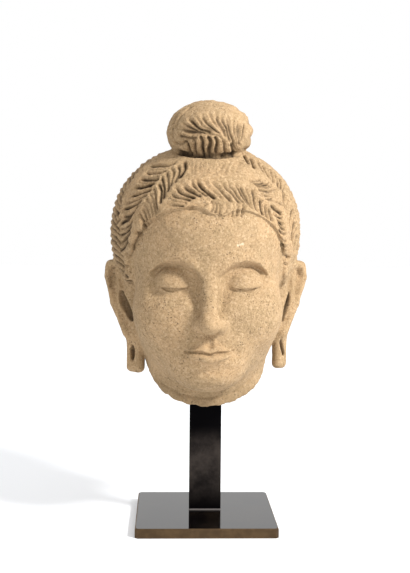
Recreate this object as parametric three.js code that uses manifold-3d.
// A carved stone head of a Buddha with a topknot and long pierced ear lobes, broken off at the neck,
// held up by the flat bar of a metal display stand.
//
// Millimetres, +Z up. The origin is the centre of the base plate's underside, and the face looks along -Y.
// The head is described as a field: a function that is negative inside the stone, zero on its surface and
// positive outside. Its forms are worked out in the head's own frame, whose origin is on the bar's
// centreline at the height of the eyes. The left half mirrors the right one, apart from the topknot, the
// hairline's peak and the ears' openings and lobes.
import * as THREE from "three";
import { mergeVertices } from "three/addons/utils/BufferGeometryUtils.js";
import Module from "manifold-3d";

// ---- Driving dimensions ------------------------------------------------------------------------------

const PLATE = { width: 150, depth: 150, thickness: 10, corner: 3, bevel: 1.2 };
const BAR = { width: 35, thickness: 6, top: 158, corner: 0.5 };
const GAP = 0.3; // left between pieces that meet

const EYE_HEIGHT = 265; // of the head's own origin, above the floor
const FACE_THIRD = 63; // hairline to brow, brow to nose base, nose base to chin
const BROW_Z = 13;
const NOSE_Z = BROW_Z - FACE_THIRD; // the nose's base
const CHIN_Z = NOSE_Z - FACE_THIRD;
const MOUTH_Z = NOSE_Z - FACE_THIRD / 3;
const EYE_WIDTH = 33; // the face is five eyes wide, and one eye's width parts the eyes
const MOUTH_HALF = 25;

const GRID = { low: [-121, -126, -146], high: [121, 132, 203], step: 2.7 }; // for the head's surface
const HEAD_TRIANGLES = 9000;
const FACE_WEIGHT = 4; // how much more closely the face is kept than the rest, when the mesh is thinned

// ---- Field arithmetic --------------------------------------------------------------------------------

const { abs, exp, hypot, max, min, sqrt, sin, cos, PI } = Math;

const clamp = (v, low, high) => min(max(v, low), high);
const bell = (t) => exp(-t * t);

function ramp(t) {
  const s = clamp(t, 0, 1);
  return s * s * (3 - 2 * s);
}

// The union of two fields, with a fillet about k wide where they meet.
function join(a, b, k) {
  const h = max(k - abs(a - b), 0) / k;
  return min(a, b) - (h * h * k) / 4;
}

// The first field with the second one cut out of it, the edge rounded over about k.
const carve = (a, b, k) => -join(-a, b, k);

// What two fields have in common.
const common = (a, b, k) => -join(-a, -b, k);

function ellipsoid([x, y, z], [cx, cy, cz], [rx, ry, rz]) {
  const [u, v, w] = [(x - cx) / rx, (y - cy) / ry, (z - cz) / rz];
  const reach = hypot(u, v, w);
  return (reach * (reach - 1)) / max(hypot(u / rx, v / ry, w / rz), 1e-9);
}

// An ellipsoid with its shoulders filled out, the more so the higher the power.
function blunt(p, centre, radii, power) {
  const parts = p.map((v, i) => abs(v - centre[i]) / radii[i]);
  const reach = max(parts.reduce((sum, v) => sum + v ** power, 0), 1e-9) ** (1 / power);
  const slope = hypot(...parts.map((v, i) => (v / reach) ** (power - 1) / radii[i]));
  return (reach - 1) / max(slope, 0.002);
}

// A rod with round ends whose radius runs from ra at a to rb at b.
function rod([x, y, z], a, b, ra, rb) {
  const [dx, dy, dz] = [b[0] - a[0], b[1] - a[1], b[2] - a[2]];
  const [px, py, pz] = [x - a[0], y - a[1], z - a[2]];
  const t = clamp((px * dx + py * dy + pz * dz) / (dx * dx + dy * dy + dz * dz), 0, 1);
  return hypot(px - t * dx, py - t * dy, pz - t * dz) - (ra + t * (rb - ra));
}

// ---- Skull and face ----------------------------------------------------------------------------------

const CRANIUM = { centre: [0, 8, 46], radii: [89, 104, 90] };

// The mass of the face with no features, for the right half.
function faceMass(p) {
  let d = ellipsoid(p, CRANIUM.centre, CRANIUM.radii);
  d = join(d, ellipsoid(p, [0, -6, -30], [76, 88, 84]), 24);
  d = join(d, ellipsoid(p, [40, -44, -33], [38, 42, 40]), 20);
  d = join(d, rod(p, [50, 0, -62], [16, -58, -88], 21, 22), 18);
  d = join(d, ellipsoid(p, [0, -62, -70], [38, 32, 30]), 18);
  return join(d, ellipsoid(p, [0, -63, CHIN_Z + 24], [25, 27, 24]), 14);
}

const BROW = { peakX: 38, rise: 10, inner: 0.0165, outer: 0.0205 };

// The height of the brow's edge at a distance x from the middle.
function browEdge(x) {
  const off = x - BROW.peakX;
  return BROW_Z + BROW.rise - (off < 0 ? BROW.inner : BROW.outer) * off * off;
}

// How far the face stands out for its brows and eye hollows.
function browRelief(x, z) {
  const below = browEdge(x) - z;
  const across = ramp((x - 5) / 10) * ramp((70 - x) / 24);
  const hollow = ramp((below + 1) / 7) * ramp((46 - below) / 22);
  return across * (1.3 * bell((below + 3) / 5) - 8 * hollow);
}

// How far it stands out for the philtrum, the hollow over the chin and the corners of the mouth.
function muzzleRelief(x, z) {
  const underNose = ramp((NOSE_Z + 1 - z) / 5) * ramp((z - MOUTH_Z - 5) / 5);
  const philtrum = underNose * (0.7 * bell((x - 5.2) / 2.2) - 1.5 * bell(x / 3));
  const chinHollow = -3.2 * bell((z - MOUTH_Z + 18) / 6) * bell(x / 22);
  const corner = -2.6 * bell((x - MOUTH_HALF - 2) / 5) * bell((z - MOUTH_Z) / 6);
  return philtrum + chinHollow + corner;
}

// The lips: each swells between the line where they meet and its own outer edge.
function lipRelief(x, z) {
  const t = min(x / MOUTH_HALF, 1);
  const meet = MOUTH_Z - 1.1 * bell(x / 4) + 0.8 * bell((x - 10) / 6) + 1.6 * t * t * t;
  const fade = sqrt(max(1 - t * t, 0));
  const upper = (9.2 - 1.9 * bell(x / 3.2)) * (1 - t * t) + 0.6;
  const lower = 11 * sqrt(max(1 - t * t * 1.08, 0)) + 0.5;
  const up = (z - meet) / upper;
  const down = (meet - z) / lower;
  let swell = 0;
  if (up >= 0 && up < 1) swell = 5 * sqrt(1 - up * up) * ramp((1 - up) * 3);
  if (down > 0 && down < 1) swell = 6.4 * sqrt(1 - (down * 1.5 - 0.5) ** 2 * 0.98) * ramp((1 - down) * 2.6);
  const parting = 4.2 * bell((z - meet) / 1.5) * ramp((1.06 - x / MOUTH_HALF) * 6);
  return swell * fade - parting;
}

const EYE = { x: EYE_WIDTH, y: -62, z: -3, radius: 19, stretch: 1.08, upperLid: 3, lowerLid: 2.2 };

// A lowered eye: the ball, with the upper lid over most of it and the lower lid's thin edge under it.
function eye([x, y, z]) {
  const off = x - EYE.x;
  const rise = z - EYE.z;
  const ball = hypot(off / EYE.stretch, y - EYE.y, rise) - EYE.radius;
  const up = common(ball - EYE.upperLid, -2.6 + 0.004 * off * off - rise, 0.8);
  const low = common(ball - EYE.lowerLid, rise + 8 - 0.02 * off * off, 0.8);
  return min(ball, up, low);
}

function nose(p) {
  const tip = [0, -105, NOSE_Z + 9];
  const bridge = rod(p, [0, -82, BROW_Z + 1], [0, -101, NOSE_Z + 14], 8, 8.6);
  let d = join(bridge, ellipsoid(p, tip, [10.5, 11.5, 9.5]), 7);
  d = join(d, ellipsoid(p, [10.6, -96, NOSE_Z + 7.5], [7.2, 9.6, 7.6]), 3.5);
  return carve(d, ellipsoid(p, [6.6, -101, NOSE_Z - 1.2], [3.3, 5.6, 3.4]), 1.6);
}

function face(p) {
  const [x, y, z] = p;
  let d = faceMass(p);
  if (y < -20) {
    const front = ramp((-20 - y) / 30);
    d -= front * (browRelief(x, z) + muzzleRelief(x, z) + lipRelief(x, z));
    d = join(d, eye(p), 1.6);
    d = join(d, nose(p), 6);
  }
  return d;
}

// ---- Ear ---------------------------------------------------------------------------------------------

// The ear lies in an upright plane that leans outwards and back from the cheek. Its own axes are u, across
// the ear towards its outer rim, z, up, and w, out of its hollow side. It is a shallow leaf with a thick
// rim, narrowing downwards into a long straight lobe with an upright slit through it.
const EAR = { x: 82, turn: (38 * PI) / 180, rim: 4.2 };
const EAR_TOP = { u: 20, z: 1, radius: 15 };
const RIGHT = {
  conch: { half: 6.4, lean: 0.46 },
  furrow: { z: -1, half: 12 },
  lobe: { u: -0.9, half: 10.6, bottom: -98.3 },
  slit: { u: -1, z: -82, half: 3.4, lean: 0 },
  narrower: 0,
};
const LEFT = {
  conch: { half: 3, lean: 0.27 },
  furrow: { z: 5, half: 6 },
  lobe: { u: 4.6, half: 8.2, bottom: -94 },
  slit: { u: 3.3, z: -76, half: 2.2, lean: -0.27 },
  narrower: 3,
};
const LOBE = { top: -58, thickness: 13, back: -6, round: 5.8 };
const SLIT_HALF_HEIGHT = 9;

function ear([x, y, z]) {
  const u = (abs(x) - EAR.x) * cos(EAR.turn) + y * sin(EAR.turn);
  const w = (abs(x) - EAR.x) * sin(EAR.turn) - y * cos(EAR.turn);
  const q = [u, w, z];
  const side = x < 0 ? RIGHT : LEFT;

  // the leaf, hollowed, with a ridge down it and a deep slanting opening beside the cheek
  let d = rod([u, 2.4 * (w + 4), z], [17, 0, -4], [4, 0, -58], 18, 7) / 2.4;
  d = join(d, rod(q, [2, -12, -2], [0, -10, -46], 12, 9), 8);
  d = carve(d, ellipsoid(q, [19, 5, -6], [12, 7, 18]), 2);
  d = join(d, rod(q, [20, -0.5, 4], [15, 0, -34], 2.6, 3), 4);
  const { conch, furrow, lobe, slit } = side;
  d = carve(d, ellipsoid([u - conch.lean * (z + 30), w, z], [8.4, 3, -31], [conch.half, 11, 17.5]), 1.4);

  // the rim: an arch over the top, and two lengths down to the lobe
  const corner = (abs(u - EAR_TOP.u) ** 5 + max(z - EAR_TOP.z, 0) ** 5) ** 0.2;
  const arch = hypot(corner - EAR_TOP.radius, w);
  const archEnds = max(EAR_TOP.z - z, 0);
  let rim = hypot(arch, archEnds) - EAR.rim;
  const edge = [u + side.narrower * ramp((-z - 4) / 24), w, z];
  rim = join(rim, rod(edge, [35, 0, 1], [26, 0, -28], EAR.rim, 4.4), 2);
  rim = join(rim, rod(edge, [26, 0, -28], [7, 0, -60], 4.4, 5), 2);
  d = join(d, rim, 3);
  d = carve(d, ellipsoid(q, [28, 4, furrow.z], [3.6, 7, furrow.half]), 1.5);

  // the lobe
  const across = max(abs(u - lobe.u) - lobe.half + LOBE.round, 0);
  const deep = max(abs(w - LOBE.back) - LOBE.thickness / 2 + LOBE.round, 0);
  const tall = z - clamp(z, lobe.bottom, LOBE.top);
  d = join(d, hypot(across, deep, tall) - LOBE.round, 6);
  const fromSlit = u - slit.u - slit.lean * (z - slit.z);
  const opening = (hypot(fromSlit / slit.half, (z - slit.z) / SLIT_HALF_HEIGHT) - 1) * slit.half;
  return carve(d, opening, 1);
}

// ---- Hair --------------------------------------------------------------------------------------------

const CROWN = { centre: [-1, 22, 52], radii: [107, 96, 98], power: 2.15 };
const NAPE = { centre: [0, 40, -8], radii: [80, 68, 62] };
const FRINGE = { depth: 4, thinner: 2.4, from: 70, over: 30 }; // its thickness, less at the temples
const TEMPLE = { frontY: -30, back: 0.6, top: 45, up: 0.5 }; // how the hair gets fuller away from them
const HAIRLINE = { half: 82, foot: 15, rise: 63, power: 2.6, peakX: 10, peak: 9, peakWidth: 16 };
const TOPKNOT = { centre: [2, -8, 160.5], radii: [47.5, 50, 36] };

// Distance from the hairline in the front view, negative over the face.
function fromHairline(x, z) {
  const peak = HAIRLINE.peak * bell((x - HAIRLINE.peakX) / HAIRLINE.peakWidth);
  const across = abs(x) / HAIRLINE.half;
  const up = max(z - HAIRLINE.foot, 0) / (HAIRLINE.rise - peak);
  const reach = (across ** HAIRLINE.power + up ** HAIRLINE.power) ** (1 / HAIRLINE.power);
  return (reach - 1) * HAIRLINE.rise;
}

function hair(p) {
  const [x, y, z] = p;
  const mass = faceMass([abs(x), y, z]);
  const thick = FRINGE.depth - FRINGE.thinner * ramp((FRINGE.from - z) / FRINGE.over);
  const room = thick + TEMPLE.back * max(y - TEMPLE.frontY, 0) + TEMPLE.up * max(z - TEMPLE.top, 0);
  const crown = common(blunt(p, CROWN.centre, CROWN.radii, CROWN.power), mass - room, 8);
  let d = join(crown, ellipsoid(p, NAPE.centre, NAPE.radii), 26);
  d = join(d, max(mass - thick, 36 - z), 16);
  d = carve(d, max(fromHairline(x, z), y + 4), 3);
  d = min(d, crown + thick);
  return join(d, ellipsoid(p, TOPKNOT.centre, TOPKNOT.radii), 2);
}

// ---- Neck --------------------------------------------------------------------------------------------

const NECK = { centreY: 12, across: 66, deep: 60 };
const BREAK = { top: -90, drop: 43, across: 67, frontY: -48, back: 0.0022, rough: 0.6 };

// The height of the broken surface under the neck: an arc from side to side, rising towards the back.
function breakHeight(x, y) {
  const arc = BREAK.drop * sqrt(max(1 - (x / BREAK.across) ** 2, 0));
  const rough = sin(x / 5.1 + 1.3) * sin(y / 6.3) + 0.6 * sin(x / 2.9 - y / 3.7);
  return BREAK.top - arc + BREAK.back * (y - BREAK.frontY) ** 2 + BREAK.rough * rough;
}

function neck([x, y, z]) {
  const reach = hypot(x / NECK.across, (y - NECK.centreY) / NECK.deep);
  return max((reach - 1) * NECK.deep, z + 10);
}

// ---- The whole head ----------------------------------------------------------------------------------

function head([x, y, z]) {
  const mirrored = [abs(x), y, z];
  let d = join(face(mirrored), neck([x, y, z]), 12);
  d = join(d, hair([x, y, z]), 1.5);
  d = common(d, breakHeight(x, y) - z, 2);
  return join(d, ear([x, y, z]), 3);
}

// ---- From field to mesh ------------------------------------------------------------------------------

// Draws a field's zero surface. Each cube of the grid is split into six tetrahedra round its long
// diagonal, and a tetrahedron that the surface passes through adds one triangle or two. The result is
// always closed.
function surfaceOf(field, { low, high, step }) {
  const size = low.map((v, i) => Math.ceil((high[i] - v) / step) + 1);
  const stride = [1, size[0], size[0] * size[1]];
  const value = new Float32Array(stride[2] * size[2]);
  const place = (n) => [
    low[0] + (n % size[0]) * step,
    low[1] + (Math.floor(n / stride[1]) % size[1]) * step,
    low[2] + Math.floor(n / stride[2]) * step,
  ];
  for (let n = 0; n < value.length; n++) value[n] = field(place(n));

  // the six tetrahedra as steps from a cube's first corner, all of them wound the same way
  const walks = [];
  const whole = stride[0] + stride[1] + stride[2];
  for (const [a, b] of [[0, 1], [1, 2], [2, 0]]) {
    const side = stride[a] + stride[b];
    walks.push([0, stride[a], side, whole], [0, stride[b], whole, side]);
  }

  const points = [];
  const known = new Map();
  function crossing(a, b) {
    const [p, q] = a < b ? [a, b] : [b, a];
    const key = p * value.length + q;
    if (!known.has(key)) {
      const t = clamp(value[p] / (value[p] - value[q]), 0.08, 0.92);
      const [from, to] = [place(p), place(q)];
      known.set(key, points.push(from.map((v, i) => v + t * (to[i] - v))) - 1);
    }
    return known.get(key);
  }

  const triangles = [];
  function cut(tetrahedron) {
    const inside = tetrahedron.filter((n) => value[n] < 0);
    if (inside.length === 0 || inside.length === 4) return;
    const outside = tetrahedron.filter((n) => value[n] >= 0);
    const order = [...inside, ...outside].map((n) => tetrahedron.indexOf(n));
    let odd = false;
    for (let i = 0; i < 4; i++) for (let j = i + 1; j < 4; j++) if (order[i] > order[j]) odd = !odd;
    const [a, b] = inside;
    let ring;
    if (inside.length === 1) ring = outside.map((n) => crossing(a, n));
    else if (inside.length === 3) ring = inside.map((n) => crossing(n, outside[0]));
    else {
      const [c, d] = outside;
      ring = [crossing(a, d), crossing(b, d), crossing(b, c), crossing(a, c)];
    }
    if (odd) ring.reverse();
    for (let i = 2; i < ring.length; i++) triangles.push([ring[0], ring[i - 1], ring[i]]);
  }

  for (let k = 0; k < size[2] - 1; k++)
    for (let j = 0; j < size[1] - 1; j++)
      for (let i = 0; i < size[0] - 1; i++) {
        const n = i + j * stride[1] + k * stride[2];
        const first = value[n] < 0;
        const far = [1, stride[1], 1 + stride[1]].flatMap((m) => [m, m + stride[2]]);
        if ([...far, stride[2]].every((m) => value[n + m] < 0 === first)) continue;
        for (const walk of walks) cut(walk.map((m) => n + m));
      }
  return { points, triangles };
}

const minus = (a, b) => [a[0] - b[0], a[1] - b[1], a[2] - b[2]];
const dot = (a, b) => a[0] * b[0] + a[1] * b[1] + a[2] * b[2];
const cross = (a, b) => [
  a[1] * b[2] - a[2] * b[1],
  a[2] * b[0] - a[0] * b[2],
  a[0] * b[1] - a[1] * b[0],
];
const normalOf = (a, b, c) => cross(minus(b, a), minus(c, a));

// The sum of squared distances to a set of planes, as the ten numbers of its matrix. A little of the
// distance to the point itself is added, so that it always has one lowest place.
function planeError([p, q, r], weight) {
  const n = normalOf(p, q, r);
  const area = hypot(...n) + 1e-12;
  const [a, b, c] = n.map((v) => v / area);
  const d = -(a * p[0] + b * p[1] + c * p[2]);
  return [a * a, a * b, a * c, a * d, b * b, b * c, b * d, c * c, c * d, d * d].map((v) => v * area * weight);
}

function pointError([x, y, z], weight) {
  return [1, 0, 0, -x, 1, 0, -y, 1, -z, x * x + y * y + z * z].map((v) => v * weight);
}

const errorAt = (e, [x, y, z]) =>
  e[0] * x * x + e[4] * y * y + e[7] * z * z + e[9] +
  2 * (e[1] * x * y + e[2] * x * z + e[3] * x + e[5] * y * z + e[6] * y + e[8] * z);

function lowestPlace(e) {
  const columns = [[e[0], e[1], e[2]], [e[1], e[4], e[5]], [e[2], e[5], e[7]]];
  const right = [-e[3], -e[6], -e[8]];
  const whole = dot(columns[0], cross(columns[1], columns[2]));
  return columns.map((_, i) => {
    const swapped = columns.map((column, j) => (i === j ? right : column));
    return dot(swapped[0], cross(swapped[1], swapped[2])) / whole;
  });
}

// Thins a closed mesh to a number of triangles by merging the two ends of one edge after another, each
// time the edge whose loss moves the surface least.
function thin({ points, triangles }, target, weightAt) {
  const error = points.map((p) => pointError(p, 0.03));
  const around = points.map(() => new Set());
  triangles.forEach((corners, t) => {
    const at = corners.map((v) => points[v]);
    const plane = planeError(at, weightAt(at[0]));
    for (const v of corners) {
      plane.forEach((n, i) => (error[v][i] += n));
      around[v].add(t);
    }
  });
  const neighbours = (v) => new Set([...around[v]].flatMap((t) => triangles[t]).filter((n) => n !== v));

  // a queue of edges, cheapest first, in buckets by the size of their cost
  const stamp = new Uint32Array(points.length);
  const heap = [];
  const swap = (i, j) => ([heap[i], heap[j]] = [heap[j], heap[i]]);
  function offer(a, b) {
    const sum = error[a].map((n, i) => n + error[b][i]);
    const to = lowestPlace(sum);
    heap.push({ cost: errorAt(sum, to), a, b, to, sum, age: [stamp[a], stamp[b]] });
    let i = heap.length - 1;
    while (i > 0 && heap[(i - 1) >> 1].cost > heap[i].cost) {
      swap(i, (i - 1) >> 1);
      i = (i - 1) >> 1;
    }
  }
  function take() {
    const best = heap[0];
    const last = heap.pop();
    if (!heap.length) return best;
    heap[0] = last;
    for (let i = 0; ; ) {
      let least = i;
      for (const child of [2 * i + 1, 2 * i + 2])
        if (child < heap.length && heap[child].cost < heap[least].cost) least = child;
      if (least === i) return best;
      swap(i, least);
      i = least;
    }
  }

  // whether moving a vertex would turn one of its triangles over, or fold it nearly flat
  function turns(v, gone, to) {
    for (const t of around[v]) {
      if (triangles[t].includes(gone)) continue;
      const before = triangles[t].map((n) => points[n]);
      const after = triangles[t].map((n) => (n === v ? to : points[n]));
      const [m, n] = [normalOf(...before), normalOf(...after)];
      if (dot(m, n) < 0.5 * hypot(...m) * hypot(...n) + 1e-9) return true;
    }
    return false;
  }

  for (const corners of triangles)
    for (let i = 0; i < 3; i++) if (corners[i] < corners[(i + 1) % 3]) offer(corners[i], corners[(i + 1) % 3]);
  let left = triangles.length;
  while (left > target && heap.length) {
    const { a, b, to, sum, age } = take();
    if (stamp[a] !== age[0] || stamp[b] !== age[1]) continue;
    const near = neighbours(a);
    const shared = [...neighbours(b)].filter((n) => near.has(n));
    if (shared.length !== 2 || turns(a, b, to) || turns(b, a, to)) continue;
    for (const t of [...around[b]]) {
      if (triangles[t].includes(a)) {
        for (const v of triangles[t]) around[v].delete(t);
        triangles[t] = null;
        left--;
      } else {
        triangles[t] = triangles[t].map((n) => (n === b ? a : n));
        around[a].add(t);
      }
    }
    around[b].clear();
    points[a] = to;
    error[a] = sum;
    stamp[a]++;
    stamp[b]++;
    for (const n of neighbours(a)) offer(a, n);
  }
  return { points, triangles: triangles.filter((t) => t) };
}

// ---- Solids ------------------------------------------------------------------------------------------

const wasm = await Module();
wasm.setup();

function geometryOf(points, triangles) {
  const geometry = new THREE.BufferGeometry();
  geometry.setAttribute("position", new THREE.Float32BufferAttribute(points.flat(), 3));
  geometry.setIndex(triangles.flat());
  return geometry;
}

function solidOf(geometry) {
  const bare = geometry.clone();
  bare.deleteAttribute("normal");
  bare.deleteAttribute("uv");
  const merged = mergeVertices(bare, 1e-4);
  const vertProperties = Float32Array.from(merged.attributes.position.array);
  const triVerts = Uint32Array.from(merged.index.array);
  return new wasm.Manifold(new wasm.Mesh({ numProp: 3, vertProperties, triVerts }));
}

function geometryFromSolid(solid) {
  const { vertProperties, triVerts } = solid.getMesh();
  const geometry = new THREE.BufferGeometry();
  geometry.setAttribute("position", new THREE.BufferAttribute(Float32Array.from(vertProperties), 3));
  geometry.setIndex(Array.from(triVerts));
  return geometry;
}

// An upright block with its four corners cut off, built up from rectangles of [half width, half depth,
// height, corner].
function stack(levels) {
  const points = levels.flatMap(([w, d, z, c]) => [
    [w - c, -d, z], [w, c - d, z], [w, d - c, z], [w - c, d, z],
    [c - w, d, z], [-w, d - c, z], [-w, c - d, z], [c - w, -d, z],
  ]);
  const triangles = [];
  for (let i = 2; i < 8; i++) {
    triangles.push([0, i, i - 1]);
    const top = points.length - 8;
    triangles.push([top, top + i - 1, top + i]);
  }
  for (let level = 0; level < levels.length - 1; level++)
    for (let i = 0; i < 8; i++) {
      const [a, b] = [level * 8 + i, level * 8 + ((i + 1) % 8)];
      triangles.push([a, b, b + 8], [a, b + 8, a + 8]);
    }
  return geometryOf(points, triangles);
}

function basePlate() {
  const { width, depth, thickness, corner, bevel } = PLATE;
  const inner = corner - bevel * 0.6;
  return stack([
    [width / 2, depth / 2, 0, corner],
    [width / 2, depth / 2, thickness - bevel, corner],
    [width / 2 - bevel, depth / 2 - bevel, thickness, inner],
  ]);
}

const upright = () => stack([
  [BAR.width / 2, BAR.thickness / 2, PLATE.thickness + GAP, BAR.corner],
  [BAR.width / 2, BAR.thickness / 2, BAR.top, BAR.corner],
]);

// The head, with a seat for the end of the bar cut up into its underside.
function carvedHead() {
  const importance = ([, y]) => (y < -30 ? FACE_WEIGHT : 1);
  const { points, triangles } = thin(surfaceOf(head, GRID), HEAD_TRIANGLES, importance);
  const stone = solidOf(geometryOf(points, triangles).translate(0, 0, EYE_HEIGHT));
  const seat = new THREE.BoxGeometry(BAR.width + 2 * GAP, BAR.thickness + 2 * GAP, BAR.top);
  seat.translate(0, 0, BAR.top / 2 + GAP);
  return geometryFromSolid(stone.subtract(solidOf(seat)));
}

// ---- The object --------------------------------------------------------------------------------------

function piece(name, geometry, colour, metalness, roughness) {
  const shape = geometry.toNonIndexed();
  shape.computeVertexNormals();
  const mesh = new THREE.Mesh(shape, new THREE.MeshStandardMaterial({ color: colour, metalness, roughness }));
  mesh.name = name;
  return mesh;
}

const object = new THREE.Group();
object.name = "stone_head_on_stand";
object.add(
  piece("head", carvedHead(), 0xc2a47c, 0, 0.85),
  piece("upright", upright(), 0x1a1817, 0.6, 0.35),
  piece("base_plate", basePlate(), 0x4a4138, 0.8, 0.3),
);

export default object;
